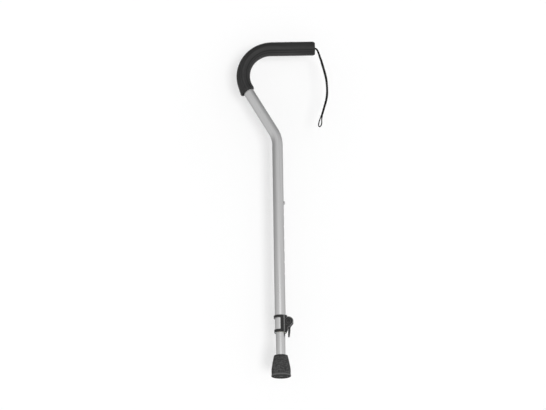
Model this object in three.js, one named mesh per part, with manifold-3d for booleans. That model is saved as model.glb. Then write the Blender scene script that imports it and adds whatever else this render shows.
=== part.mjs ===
// Single point walking cane with an offset foam handle, a telescoping shaft held by a snap button,
// a cam-lever clamp at the joint of the two tubes, a wrist strap and a rubber tip.
// Millimetres, +Z up along the shaft. The origin is the middle of the tip's flat underside,
// and +X points the way the handle's nose points.
import * as THREE from 'three';
import { mergeVertices } from 'three/addons/utils/BufferGeometryUtils.js';
import Module from 'manifold-3d';

const wasm = await Module();
wasm.setup();

// ---- driving dimensions ----
const outerTube = { radius: 11.1, bore: 9.9, bottom: 94.3, noseEnd: 79.4 };
const innerTube = { radius: 9.525, bore: 8.325, bottom: 8.2, top: 388 };
const handle = { height: 709.4, kinkHeight: 511.8, slant: 29.9, kinkBend: 60, handleBend: 60 };
const grip = { radius: 14.3, bore: 11.45, noseEnd: 82.8, belowBend: 5 };
const heights = { button: 368.7, pitch: 25.4, count: 7, holeRadius: 3.8 };
const button = { radius: 3.4, base: 7.2, shoulder: 12.7, tip: 14.1 };
const spring = { face: 6.9, thickness: 0.7, width: 6.4, apex: 330, knee: 360, top: 377 };
const collar = { bore: 11.5, radius: 13.4, bottom: 91.2, top: 127.4, band: 6.1, wallFrom: 90 };
const housing = { back: 9, face: 15.5, halfWidth: 9, slot: 5.3, slotBottom: 103.5, slotTop: 124.6 };
const pivot = { x: 16.8, z: 114, ear: 10, pin: 2, hole: 2.3 };
const cam = { closed: 4.9, open: 4.1, turn: 120, halfWidth: 5 };
const lever = { neckX: 15.9, tipX: 15.3, backX: 20, tipBackX: 18.8, neckZ: 98, tipZ: 83, paddleZ: 101 };
const paddleHalfWidth = 7;
const shoe = { outer: 11.6, halfWidth: 4, bottom: 107, top: 121 };
const tubeWindow = { halfWidth: 4.5, bottom: 106.3, top: 121.7 };
const pinEnds = { head: -10.5, shoulder: -9.3, groove: 9.1, tail: 10.3, end: 10.9, headRadius: 3.4 };
const pinGrooveRadius = 1.5;
const clip = { bore: 1.8, radius: 3.6, from: 9.4, to: 10, mouth: 2.4 };
const screw = { height: 124.35, shank: 1.4, hole: 1.8, head: 2.4, from: 10.3, seat: 13.7, top: 15.1 };
const bush = { bore: 9.85, radius: 11.1, bottom: 91.5, top: 94 };
const glide = { radius: 9.5, bore: 5, stem: 7.95, stemBottom: 380, seat: 388.3, top: 391.3 };
const tip = { foot: 18.6, lip: 20.1, barrel: 19.5, neck: 14.5, coneFrom: 16.4, coneTo: 41.9, top: 44 };
const socket = { radius: 9.9, floor: 6 };
const treadGrooves = [[6, 8], [12.5, 14.5]];
const treadDepth = 1.5;
const washer = { bore: 1.6, radius: 9.4, bottom: 6.3, top: 7.9 };
const plug = { flange: 10.9, stem: 9.45, inner: 67, seat: 79.7, face: 82.3, hole: 1.6, holeGap: 1.9 };
const knot = { radius: 5.5, x: 60, tailsFrom: 58 };
const cordRadius = 1.25;
const seatGap = 0.3;
const tubeSides = 24;
const roundSides = 32;
const bendStep = 7.5;

// The strap's loop: two strands side by side. Each row is the middle between them (x, z), half their
// spacing, and how far the pair has turned about its own length, in degrees.
const strapRows = [
  [82.6, 709.4, 1.9, 0],
  [84, 709.1, 1.9, 2],
  [85.3, 708.4, 1.9, 4],
  [86.4, 707.4, 1.9, 6],
  [87.3, 706, 1.9, 9],
  [88.7, 703.2, 1.8, 14],
  [90.1, 699.4, 1.7, 21],
  [92.4, 691.6, 1.45, 35],
  [95.4, 682, 1.3, 52],
  [98.6, 669.5, 1.27, 70],
  [102.2, 655, 1.27, 76],
  [105.2, 640, 1.27, 66],
  [106.3, 626, 1.27, 50],
  [106.4, 612, 1.27, 58],
  [105.4, 600, 1.27, 70],
  [102.8, 588.5, 1.27, 76],
  [99.2, 576.5, 1.27, 64],
  [95.9, 565, 1.4, 50],
  [93.2, 556, 2.1, 42],
  [91.4, 549, 3.9, 38],
  [90.3, 541.5, 5.3, 37],
  [90, 537.6, 4.4, 37],
  [89.9, 535.8, 2.4, 37],
];
const strapBottom = [89.9, 535.2];
const strapSteps = 76;
const strapSides = 8;

const degrees = Math.PI / 180;

// ---- materials ----
const finish = (color, roughness, metalness = 0) =>
  new THREE.MeshStandardMaterial({ color, roughness, metalness });
const aluminium = finish(0xc4c6c8, 0.35, 1);
const foam = finish(0x2c2c2e, 0.95);
const rubber = finish(0x46464a, 0.85);
const moulding = finish(0x303033, 0.6);
const nylon = finish(0xe2e0d8, 0.5);
const steel = finish(0xb4b6ba, 0.3, 1);
const blackenedSteel = finish(0x2e2e30, 0.4, 1);
const cord = finish(0x161618, 0.9);

// ---- joining and cutting ----
function solid(geometry) {
  const bare = geometry.clone();
  bare.deleteAttribute('normal');
  bare.deleteAttribute('uv');
  const merged = mergeVertices(bare, 1e-4);
  const vertProperties = Float32Array.from(merged.attributes.position.array);
  const triVerts = Uint32Array.from(merged.index.array);
  return new wasm.Manifold(new wasm.Mesh({ numProp: 3, vertProperties, triVerts }));
}

function surface(body) {
  const mesh = body.getMesh();
  const geometry = new THREE.BufferGeometry();
  geometry.setAttribute('position', new THREE.BufferAttribute(mesh.vertProperties, 3));
  geometry.setIndex(new THREE.BufferAttribute(mesh.triVerts, 1));
  return geometry;
}

function join(...geometries) {
  return surface(geometries.map(solid).reduce((whole, next) => whole.add(next)));
}

function cut(geometry, ...tools) {
  return surface(tools.map(solid).reduce((whole, tool) => whole.subtract(tool), solid(geometry)));
}

// ---- plain shapes ----
const flat = ([x, y]) => new THREE.Vector2(x, y);
const turned = (profile, sides = roundSides) => new THREE.LatheGeometry(profile.map(flat), sides)
  .rotateX(90 * degrees);
const alongX = (geometry) => geometry.rotateY(90 * degrees);
const alongY = (geometry) => geometry.rotateX(-90 * degrees);

function ring(bore, radius, bottom, top, sides = roundSides) {
  return turned([[bore, bottom], [radius, bottom], [radius, top], [bore, top], [bore, bottom]], sides);
}

function rod(radius, bottom, top, sides = roundSides) {
  return turned([[0, bottom], [radius, bottom], [radius, top], [0, top]], sides);
}

function block([x0, x1], [y0, y1], [z0, z1]) {
  return new THREE.BoxGeometry(x1 - x0, y1 - y0, z1 - z0)
    .translate((x0 + x1) / 2, (y0 + y1) / 2, (z0 + z1) / 2);
}

// An outline drawn in the XZ plane, given a thickness along Y.
function plate(outline, halfWidth, curveSegments = 10) {
  return new THREE.ExtrudeGeometry(outline, { depth: 2 * halfWidth, bevelEnabled: false, curveSegments })
    .rotateX(90 * degrees)
    .translate(0, halfWidth, 0);
}

// ---- a tube's route: straight runs joined by round bends, in the XZ plane ----
class Route extends THREE.Curve {
  constructor(corners, bends) {
    super();
    this.stations = [];
    const points = corners.map(([x, z]) => new THREE.Vector3(x, 0, z));
    const last = points.length - 1;
    this.station(points[0], points[1].clone().sub(points[0]));
    for (let i = 1; i < last; i += 1) this.bend(points[i - 1], points[i], points[i + 1], bends[i - 1]);
    this.station(points[last], points[last].clone().sub(points[last - 1]));
  }

  station(point, direction) {
    this.stations.push({ point, tangent: direction.clone().normalize() });
  }

  bend(before, corner, after, radius) {
    const into = corner.clone().sub(before).normalize();
    const away = after.clone().sub(corner).normalize();
    const turn = into.angleTo(away);
    const axis = into.clone().cross(away).normalize();
    const start = corner.clone().addScaledVector(into, -radius * Math.tan(turn / 2));
    const centre = axis.clone().cross(into).multiplyScalar(radius).add(start);
    const steps = Math.ceil(turn / (bendStep * degrees));
    for (let i = 0; i <= steps; i += 1) {
      const angle = turn * i / steps;
      const point = start.clone().sub(centre).applyAxisAngle(axis, angle).add(centre);
      this.station(point, into.clone().applyAxisAngle(axis, angle));
    }
  }

  at(u) {
    return this.stations[Math.round(u * (this.stations.length - 1))];
  }

  getPointAt(u, target = new THREE.Vector3()) {
    return target.copy(this.at(u).point);
  }

  getTangentAt(u, target = new THREE.Vector3()) {
    return target.copy(this.at(u).tangent);
  }
}

function circle(radius, sides) {
  const shape = new THREE.Shape();
  shape.setFromPoints(Array.from({ length: sides }, (_, i) => {
    const angle = 2 * Math.PI * i / sides;
    return new THREE.Vector2(radius * Math.cos(angle), radius * Math.sin(angle));
  }));
  return shape;
}

function pipe(route, radius, bore, sides = tubeSides) {
  const section = circle(radius, sides);
  section.holes.push(circle(bore, sides));
  return new THREE.ExtrudeGeometry(section, { extrudePath: route, steps: route.stations.length - 1 });
}

// ---- the tubes ----
const slope = Math.tan(handle.slant * degrees);
const handleCorner = [-(handle.height - handle.kinkHeight) * slope, handle.height];
const bendReach = handle.handleBend * Math.tan((90 + handle.slant) / 2 * degrees);

function onSlant(distance) {
  const [x, z] = handleCorner;
  return [x + distance * Math.sin(handle.slant * degrees), z - distance * Math.cos(handle.slant * degrees)];
}

function makeOuterTube() {
  const corners = [[0, outerTube.bottom], [0, handle.kinkHeight], handleCorner,
    [outerTube.noseEnd, handle.height]];
  const tube = pipe(new Route(corners, [handle.kinkBend, handle.handleBend]), outerTube.radius, outerTube.bore);
  const holes = Array.from({ length: heights.count }, (_, i) =>
    alongX(rod(heights.holeRadius, 5, 15, tubeSides)).translate(0, 0, heights.button - i * heights.pitch));
  const { halfWidth, bottom, top } = tubeWindow;
  const shoeWindow = block([5, 15], [-halfWidth, halfWidth], [bottom, top]);
  const screwHole = alongY(rod(screw.hole, 5, 15, tubeSides)).translate(0, 0, screw.height);
  return cut(tube, ...holes, shoeWindow, screwHole);
}

function makeInnerTube() {
  const tube = ring(innerTube.bore, innerTube.radius, innerTube.bottom, innerTube.top, tubeSides);
  return cut(tube, alongX(rod(heights.holeRadius, 5, 15, tubeSides)).translate(0, 0, heights.button));
}

// ---- the handle ----
function makeGrip() {
  const corners = [onSlant(bendReach + grip.belowBend), handleCorner, [grip.noseEnd, handle.height]];
  return pipe(new Route(corners, [handle.handleBend]), grip.radius, grip.bore);
}

function makePlug() {
  const { flange, stem, inner, seat, face, hole, holeGap } = plug;
  const body = alongX(turned([[0, inner], [stem, inner], [stem, seat], [flange, seat], [flange, face], [0, face]]));
  const holes = [-1, 1].map((side) =>
    alongX(rod(hole, inner - 5, face + 5, tubeSides)).translate(0, side * holeGap, 0));
  return cut(body, ...holes).translate(0, 0, handle.height);
}

function makeKnot() {
  const ball = new THREE.SphereGeometry(knot.radius, 16, 12).translate(knot.x, 0, 0);
  const tails = [-1, 1].map((side) =>
    alongX(rod(cordRadius, knot.tailsFrom, plug.face - seatGap, strapSides)).translate(0, side * plug.holeGap, 0));
  return join(ball, ...tails).translate(0, 0, handle.height);
}

function strapStrand(side) {
  return strapRows.map(([x, z, spacing, turn]) => new THREE.Vector3(
    x + side * spacing * Math.sin(turn * degrees),
    -side * spacing * Math.cos(turn * degrees),
    z,
  ));
}

function makeStrap() {
  const bottom = new THREE.Vector3(strapBottom[0], 0, strapBottom[1]);
  const points = [...strapStrand(1), bottom, ...strapStrand(-1).reverse()];
  const route = new THREE.CatmullRomCurve3(points);
  return new THREE.ExtrudeGeometry(circle(cordRadius, strapSides), { extrudePath: route, steps: strapSteps });
}

// ---- the height button ----
function makeButton() {
  const { radius, base, shoulder, tip: end } = button;
  const dome = Array.from({ length: 5 }, (_, i) => {
    const angle = 90 * degrees * i / 4;
    return [radius * Math.cos(angle), shoulder + (end - shoulder) * Math.sin(angle)];
  });
  dome[4][0] = 0;
  return alongX(turned([[0, base], [radius, base], ...dome], tubeSides)).translate(0, 0, heights.button);
}

function makeSpring() {
  const { face, thickness, width, apex, knee, top } = spring;
  const outside = [[face, top], [face, knee], [thickness, apex], [-thickness, apex], [-face, knee], [-face, top]];
  const inner = face - thickness;
  const rise = thickness * 4;
  const inside = [[-inner, top], [-inner, knee], [0, apex + rise], [inner, knee], [inner, top]];
  return plate(new THREE.Shape([...outside, ...inside].map(flat)), width / 2);
}

function makeGlideBush() {
  const { radius, bore, stem, stemBottom, seat, top } = glide;
  return turned([[bore, stemBottom], [stem, stemBottom], [stem, seat], [radius, seat], [radius, top],
    [bore, top], [bore, stemBottom]], tubeSides);
}

// ---- the clamp ----
function makeCollar() {
  const { bore, radius, bottom, top, band, wallFrom } = collar;
  const bands = [bottom, top - band].map((z) => ring(bore, radius, z, z + band));
  const from = -wallFrom * degrees;
  const wallShape = new THREE.Shape().absarc(0, 0, radius, from, -from, false).absarc(0, 0, bore, -from, from, true);
  const wall = new THREE.ExtrudeGeometry(wallShape, { depth: top - bottom, bevelEnabled: false, curveSegments: 16 })
    .translate(0, 0, bottom);
  const { back, face, halfWidth, slot, slotBottom, slotTop } = housing;
  const side = new THREE.Shape([[back, bottom], [11.4, bottom], [face, 98.5], [face, 121], [13.4, top], [back, top]]
    .map(flat));
  const ears = alongY(rod(pivot.ear, -halfWidth, halfWidth)).translate(pivot.x, 0, pivot.z);
  const body = join(...bands, wall, plate(side, halfWidth), ears);
  return cut(
    body,
    rod(bore, bottom - 5, top + 5),
    block([5, 30], [-slot, slot], [slotBottom, slotTop]),
    alongY(rod(pivot.hole, -15, 15, tubeSides)).translate(pivot.x, 0, pivot.z),
    alongY(rod(screw.hole, 5, 18, tubeSides)).translate(0, 0, screw.height),
  );
}

// The cam's radius falls evenly as the lever opens, and the shoe backs off by the same amount.
function makeLever() {
  const { neckX, tipX, backX, tipBackX, neckZ, tipZ, paddleZ } = lever;
  const steps = 16;
  const head = Array.from({ length: steps + 1 }, (_, i) => {
    const angle = (cam.turn + 60) * i / steps;
    const radius = cam.closed - (cam.closed - cam.open) * Math.min(1, angle / cam.turn);
    return [pivot.x - radius * Math.cos(angle * degrees), pivot.z + radius * Math.sin(angle * degrees)];
  });
  const tail = [[backX + 0.4, 106], [backX, neckZ], [tipBackX, tipZ], [tipX, tipZ], [neckX, neckZ],
    [neckX, 105], [13.8, 110]];
  const arm = plate(new THREE.Shape([...head, ...tail].map(flat)), cam.halfWidth);
  const foot = [[backX + 0.07, paddleZ], [backX, neckZ], [tipBackX, tipZ], [tipX, tipZ], [neckX, neckZ],
    [neckX, paddleZ]];
  const paddle = plate(new THREE.Shape(foot.map(flat)), paddleHalfWidth);
  const bore = alongY(rod(pivot.hole, -15, 15, tubeSides)).translate(pivot.x, 0, pivot.z);
  return cut(join(arm, paddle), bore);
}

function makePin() {
  const { head, shoulder, groove, tail, end, headRadius } = pinEnds;
  const profile = [[0, head], [headRadius, head], [headRadius, shoulder], [pivot.pin, shoulder],
    [pivot.pin, groove], [pinGrooveRadius, groove], [pinGrooveRadius, tail], [pivot.pin, tail],
    [pivot.pin, end], [0, end]];
  return alongY(turned(profile, tubeSides)).translate(pivot.x, 0, pivot.z);
}

function makeClip() {
  const disc = ring(clip.bore, clip.radius, clip.from, clip.to, tubeSides);
  const mouth = block([0, 5], [-clip.mouth / 2, clip.mouth / 2], [clip.from - 1, clip.to + 1]);
  return alongY(cut(disc, mouth)).translate(pivot.x, 0, pivot.z);
}

function makeShoe() {
  const { outer, halfWidth, bottom, top } = shoe;
  const body = block([innerTube.radius - 1, outer], [-halfWidth, halfWidth], [bottom, top]);
  return cut(body, rod(outerTube.bore, bottom - 5, top + 5));
}

function makeCollarScrew() {
  const { shank, head, from, seat, top, height } = screw;
  const profile = [[0, from], [shank, from], [shank, seat], [head, seat], [head, top], [0, top]];
  return alongY(turned(profile, tubeSides)).translate(0, 0, height);
}

// ---- the tip ----
function makeTip() {
  const { foot, lip, barrel, neck, coneFrom, coneTo, top } = tip;
  const tread = treadGrooves.flatMap(([from, to]) => [[from, 0], [from, treadDepth], [to, treadDepth], [to, 0]]);
  return turned([[0, 0], ...tread, [foot, 0], [lip - 0.4, 0.5], [lip, 1.5], [lip, 2.6], [barrel, 4.6],
    [barrel, coneFrom], [neck, coneTo], [neck - 0.4, top - 0.9], [neck - 1.3, top], [socket.radius, top],
    [socket.radius, socket.floor], [0, socket.floor]]);
}

// ---- the assembly ----
const cane = new THREE.Group();

function add(name, geometry, material) {
  const mesh = new THREE.Mesh(geometry, material);
  mesh.name = name;
  cane.add(mesh);
}

add('inner_tube', makeInnerTube(), aluminium);
add('rubber_tip', makeTip(), rubber);
add('tip_washer', ring(washer.bore, washer.radius, washer.bottom, washer.top, tubeSides), steel);
add('snap_spring', makeSpring(), steel);
add('glide_bush', makeGlideBush(), nylon);
add('snap_button', makeButton(), steel);
add('outer_tube', makeOuterTube(), aluminium);
add('foam_grip', makeGrip(), foam);
add('handle_end_plug', makePlug(), moulding);
add('strap_knot', makeKnot(), cord);
add('wrist_strap', makeStrap(), cord);
add('clamp_collar', makeCollar(), moulding);
add('anti_rattle_bush', ring(bush.bore, bush.radius, bush.bottom, bush.top, tubeSides), nylon);
add('collar_screw', makeCollarScrew(), blackenedSteel);
add('lever_pin', makePin(), blackenedSteel);
add('pin_clip', makeClip(), blackenedSteel);
add('clamp_lever', makeLever(), moulding);
add('pressure_shoe', makeShoe(), nylon);

export default cane;
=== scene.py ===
import math
import bpy
import numpy as np
from mathutils import Matrix, Vector, noise


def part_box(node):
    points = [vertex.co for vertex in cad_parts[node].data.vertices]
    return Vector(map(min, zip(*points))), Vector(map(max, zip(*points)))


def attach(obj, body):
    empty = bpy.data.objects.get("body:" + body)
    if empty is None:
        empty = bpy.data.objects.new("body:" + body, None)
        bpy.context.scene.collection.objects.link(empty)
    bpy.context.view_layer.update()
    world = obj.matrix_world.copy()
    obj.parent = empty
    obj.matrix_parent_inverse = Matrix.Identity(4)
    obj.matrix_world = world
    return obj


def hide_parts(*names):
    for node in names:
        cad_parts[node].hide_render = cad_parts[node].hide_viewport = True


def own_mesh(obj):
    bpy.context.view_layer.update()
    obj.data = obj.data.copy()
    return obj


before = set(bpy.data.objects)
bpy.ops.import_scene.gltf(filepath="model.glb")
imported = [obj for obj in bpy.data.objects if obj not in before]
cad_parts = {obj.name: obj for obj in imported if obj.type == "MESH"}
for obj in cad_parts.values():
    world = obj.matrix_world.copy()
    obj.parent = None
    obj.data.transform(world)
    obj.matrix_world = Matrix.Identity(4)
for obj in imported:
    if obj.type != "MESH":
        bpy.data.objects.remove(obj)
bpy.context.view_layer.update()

mm = 0.001                      # lengths below are in millimetres unless a note says otherwise


# how the camera stands: a long lens a little below the cane, which leans slightly in the picture
cameraView = {"aim": (-11.2, 0, 364.7), "distance": 4953, "below": 17, "lean": 0.893, "lens": 157.4}


def placeCamera():
    below = math.radians(cameraView["below"])
    lean = math.radians(cameraView["lean"])
    forward = Vector((0, math.cos(below), math.sin(below)))
    level = Vector((1, 0, 0))
    steep = level.cross(forward)
    top = steep * math.cos(lean) + level * math.sin(lean)
    side = forward.cross(top)
    bpy.ops.object.camera_add()
    camera = bpy.context.object
    camera.name = "camera"
    camera.data.lens = cameraView["lens"]
    camera.data.clip_end = 60
    place = Vector(cameraView["aim"]) * mm - forward * cameraView["distance"] * mm
    camera.matrix_world = Matrix.Translation(place) @ Matrix((side, top, -forward)).transposed().to_4x4()
    bpy.context.scene.camera = camera
    print("camera placed")


placeCamera()


# working tools

def selectOnly(piece):
    bpy.ops.object.select_all(action="DESELECT")
    piece.select_set(True)
    bpy.context.view_layer.objects.active = piece


def startPiece(name):           # takes up the primitive that was just added
    piece = bpy.context.object
    piece.name = name
    piece.data.name = name
    bpy.ops.object.transform_apply(location=True, rotation=True, scale=True)
    return piece


def editAll(piece):
    selectOnly(piece)
    bpy.ops.object.mode_set(mode="EDIT")
    bpy.ops.mesh.select_mode(type="VERT")
    bpy.ops.mesh.select_all(action="SELECT")


def endEdit(merge=0.0):
    bpy.ops.mesh.select_all(action="SELECT")
    if merge:
        bpy.ops.mesh.remove_doubles(threshold=merge * mm)
    bpy.ops.mesh.normals_make_consistent(inside=False)
    bpy.ops.object.mode_set(mode="OBJECT")


def applied(piece, kind, **settings):
    modifier = piece.modifiers.new(kind.lower(), kind)
    for setting, value in settings.items():
        setattr(modifier, setting, value)
    selectOnly(piece)
    bpy.ops.object.modifier_apply(modifier=modifier.name)
    return piece


def roundEdges(piece, width, segments=3, angle=30):
    return applied(piece, "BEVEL", width=width * mm, segments=segments, limit_method="ANGLE",
                   angle_limit=math.radians(angle))


def combine(piece, tools, operation="DIFFERENCE"):
    for tool in tools:
        applied(piece, "BOOLEAN", operation=operation, object=tool, solver="EXACT")
        bpy.data.objects.remove(tool)
    return piece


def setDown(piece, place, rotation=(0, 0, 0)):
    selectOnly(piece)
    piece.rotation_euler = rotation
    piece.location = [v * mm for v in place]
    bpy.ops.object.transform_apply(location=True, rotation=True, scale=True)
    return piece


def shadeSmooth(piece, angle=35):
    selectOnly(piece)
    bpy.ops.object.shade_smooth_by_angle(angle=math.radians(angle))
    return piece


def castSmooth(piece, grain, rounds):   # one moulded skin with every edge rounded
    applied(piece, "REMESH", mode="VOXEL", voxel_size=grain * mm, use_smooth_shade=True)
    applied(piece, "SMOOTH", factor=0.5, iterations=rounds)
    return piece


def turnPiece(name, profile, sides=64, ring=False):
    # profile is (radius, height) from the bottom up; a ring's profile comes back to its first point
    radius, height = profile[0]
    bpy.ops.object.select_all(action="DESELECT")
    bpy.ops.mesh.primitive_circle_add(vertices=sides, radius=radius * mm, location=(0, 0, height * mm),
                                      fill_type="NOTHING" if ring else "NGON")
    piece = startPiece(name)
    editAll(piece)
    for nextRadius, nextHeight in profile[1:] + (profile[:1] if ring else []):
        rise = (0, 0, (nextHeight - height) * mm)
        bpy.ops.mesh.extrude_region_move(TRANSFORM_OT_translate={"value": rise})
        if nextRadius == 0:
            bpy.ops.mesh.merge(type="CENTER")
            break
        growth = nextRadius / radius
        bpy.ops.transform.resize(value=(growth, growth, 1))
        radius, height = nextRadius, nextHeight
    endEdit(merge=0.001)
    return piece


def ringProfile(bore, radius, low, high):
    return [(bore, low), (radius, low), (radius, high), (bore, high)]


def layAlong(piece, axis, place):   # lays a piece made along Z along X or Y
    selectOnly(piece)
    piece.rotation_euler = (0, math.pi / 2, 0) if axis == "X" else (-math.pi / 2, 0, 0)
    piece.location = Vector(place) * mm
    bpy.ops.object.transform_apply(location=True, rotation=True, scale=True)
    return piece


def rodAlong(axis, radius, start, end, place, sides=48):
    return layAlong(turnPiece("rod", [(radius, start), (radius, end)], sides), axis, place)


def makeBlock(name, low, high):
    low = Vector(low) * mm
    high = Vector(high) * mm
    bpy.ops.object.select_all(action="DESELECT")
    bpy.ops.mesh.primitive_cube_add(size=1, location=(low + high) / 2)
    bpy.context.object.scale = high - low
    return startPiece(name)


def drawPlate(name, outline, halfWidth):
    # an outline drawn point by point in the XZ plane, then pulled out along Y
    x, z = outline[0]
    bpy.ops.object.select_all(action="DESELECT")
    bpy.ops.mesh.primitive_plane_add(size=mm, location=(x * mm, -halfWidth * mm, z * mm))
    piece = startPiece(name)
    editAll(piece)
    bpy.ops.mesh.merge(type="CENTER")
    for nextX, nextZ in outline[1:]:
        step = ((nextX - x) * mm, 0, (nextZ - z) * mm)
        bpy.ops.mesh.extrude_region_move(TRANSFORM_OT_translate={"value": step})
        x, z = nextX, nextZ
    bpy.ops.mesh.select_all(action="SELECT")
    bpy.ops.mesh.edge_face_add()
    bpy.ops.mesh.extrude_region_move(TRANSFORM_OT_translate={"value": (0, 2 * halfWidth * mm, 0)})
    endEdit()
    return piece


def sweepTube(name, radius, spot, tilt, moves, sides=96):
    # spot is (x, z); tilt is in degrees from straight up, towards +X
    # a move is (length, 0, steps) straight on, or (bend radius, degrees towards +X, steps)
    x, z = spot
    bpy.ops.object.select_all(action="DESELECT")
    bpy.ops.mesh.primitive_circle_add(vertices=sides, radius=radius * mm, location=(x * mm, 0, z * mm),
                                      rotation=(0, math.radians(tilt), 0))
    piece = startPiece(name)
    editAll(piece)
    for amount, turn, steps in moves:
        lean = math.radians(tilt)
        if turn:
            way = math.copysign(1, turn)
            centre = (x + way * amount * math.cos(lean), z - way * amount * math.sin(lean))
            bpy.ops.mesh.spin(steps=steps, angle=math.radians(abs(turn)), axis=(0, -way, 0),
                              center=(centre[0] * mm, 0, centre[1] * mm))
            tilt += turn
            lean = math.radians(tilt)
            x = centre[0] - way * amount * math.cos(lean)
            z = centre[1] + way * amount * math.sin(lean)
        else:
            run = (amount * math.sin(lean) / steps, amount * math.cos(lean) / steps)
            for _ in range(steps):
                bpy.ops.mesh.extrude_region_move(
                    TRANSFORM_OT_translate={"value": (run[0] * mm, 0, run[1] * mm)})
            x += run[0] * steps
            z += run[1] * steps
    endEdit(merge=0.001)
    return piece


def walkLine(spot, tilt, moves):
    # stations (x, z, tilt, distance) along the same line that sweepTube follows
    x, z = spot
    gone = 0.0
    stations = [(x, z, math.radians(tilt), gone)]
    for amount, turn, _ in moves:
        length = math.radians(abs(turn)) * amount if turn else amount
        count = max(1, round(length))           # about a millimetre each
        for _ in range(count):
            middle = math.radians(tilt + turn / count / 2)
            x += length / count * math.sin(middle)
            z += length / count * math.cos(middle)
            tilt += turn / count
            gone += length / count
            stations.append((x, z, math.radians(tilt), gone))
    return np.array(stations)


def straighten(piece, stations):
    # each point's place as if the tube were straight: across, sideways and along, in metres
    points = np.array([v.co for v in piece.data.vertices])
    nearest = np.array([np.argmin(((stations[:, :2] * mm - p[[0, 2]]) ** 2).sum(1)) for p in points])
    x, z, tilt, gone = stations[nearest].T
    off = points[:, [0, 2]] - np.stack([x, z], 1) * mm
    across = off[:, 0] * np.cos(tilt) - off[:, 1] * np.sin(tilt)
    along = gone * mm + off[:, 0] * np.sin(tilt) + off[:, 1] * np.cos(tilt)
    return points, tilt, np.stack([across, points[:, 1], along], 1)


def layGrain(piece, grain=None):    # the coordinates that drawn lines and yarns run along
    if grain is None:
        grain = np.array([v.co for v in piece.data.vertices])
    attribute = piece.data.attributes.new("grain", "FLOAT_VECTOR", "POINT")
    attribute.data.foreach_set("vector", np.asarray(grain, np.float32).ravel())
    return piece


# settings for the factor that paints edges lighter: partly rubbed wear, partly painted highlight
wearAndHighlight = {"rounds": 6, "proud": 0.06}


def markWearAndHighlight(piece, highlightCrest=None, sheltered=0):   # how far each point stands proud of its neighbours
    points = np.array([v.co for v in piece.data.vertices])
    normals = np.array([v.normal for v in piece.data.vertices])
    edges = np.array([e.vertices[:] for e in piece.data.edges])
    count = np.bincount(edges.ravel(), minlength=len(points))[:, None]
    calm = points
    for _ in range(wearAndHighlight["rounds"]):
        total = np.zeros_like(points)
        np.add.at(total, edges[:, 0], calm[edges[:, 1]])
        np.add.at(total, edges[:, 1], calm[edges[:, 0]])
        calm = total / count
    proud = ((points - calm) * normals).sum(1) / (wearAndHighlight["proud"] * mm)
    proud[points[:, 2] < sheltered * mm] = 0
    # points picked by the crest mask get full value: a painted highlight
    if highlightCrest is not None:
        proud[highlightCrest(*(points.T / mm))] = 1
    return layFactor(piece, "wearAndHighlight", np.clip(proud, 0, 1))


def layFactor(piece, name, values):
    attribute = piece.data.attributes.new(name, "FLOAT", "POINT")
    attribute.data.foreach_set("value", np.asarray(values, np.float32))
    return piece


def setVerts(piece, points):
    piece.data.vertices.foreach_set("co", np.asarray(points, np.float32).ravel())
    piece.data.update()


def fitPiece(piece, finish, body, slot, *nodes):    # finish it, and let it stand for its nodes
    piece.data.materials.clear()
    piece.data.materials.append(finish)
    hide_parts(*nodes)
    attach(piece, body)
    print("piece:", piece.name, len(piece.data.polygons), "faces")
    return piece


# finishes

class Nodes:                    # a small hand for laying out shader nodes
    def __init__(self, tree):
        self.tree = tree

    def node(self, kind, **settings):
        made = self.tree.nodes.new("ShaderNode" + kind)
        for setting, value in settings.items():
            setattr(made, setting, value)
        return made

    def link(self, source, target):
        self.tree.links.new(source, target)

    def ramp(self, value, low, high, fromLow=0.3, fromHigh=0.7):
        made = self.node("MapRange")
        for socket, number in zip(("From Min", "From Max", "To Min", "To Max"),
                                  (fromLow, fromHigh, low, high)):
            made.inputs[socket].default_value = number
        self.link(value, made.inputs["Value"])
        return made.outputs["Result"]

    def maths(self, operation, first, second):
        made = self.node("Math", operation=operation)
        for socket, source in zip(made.inputs, (first, second)):
            if isinstance(source, (int, float)):
                socket.default_value = source
            else:
                self.link(source, socket)
        return made.outputs["Value"]


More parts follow.
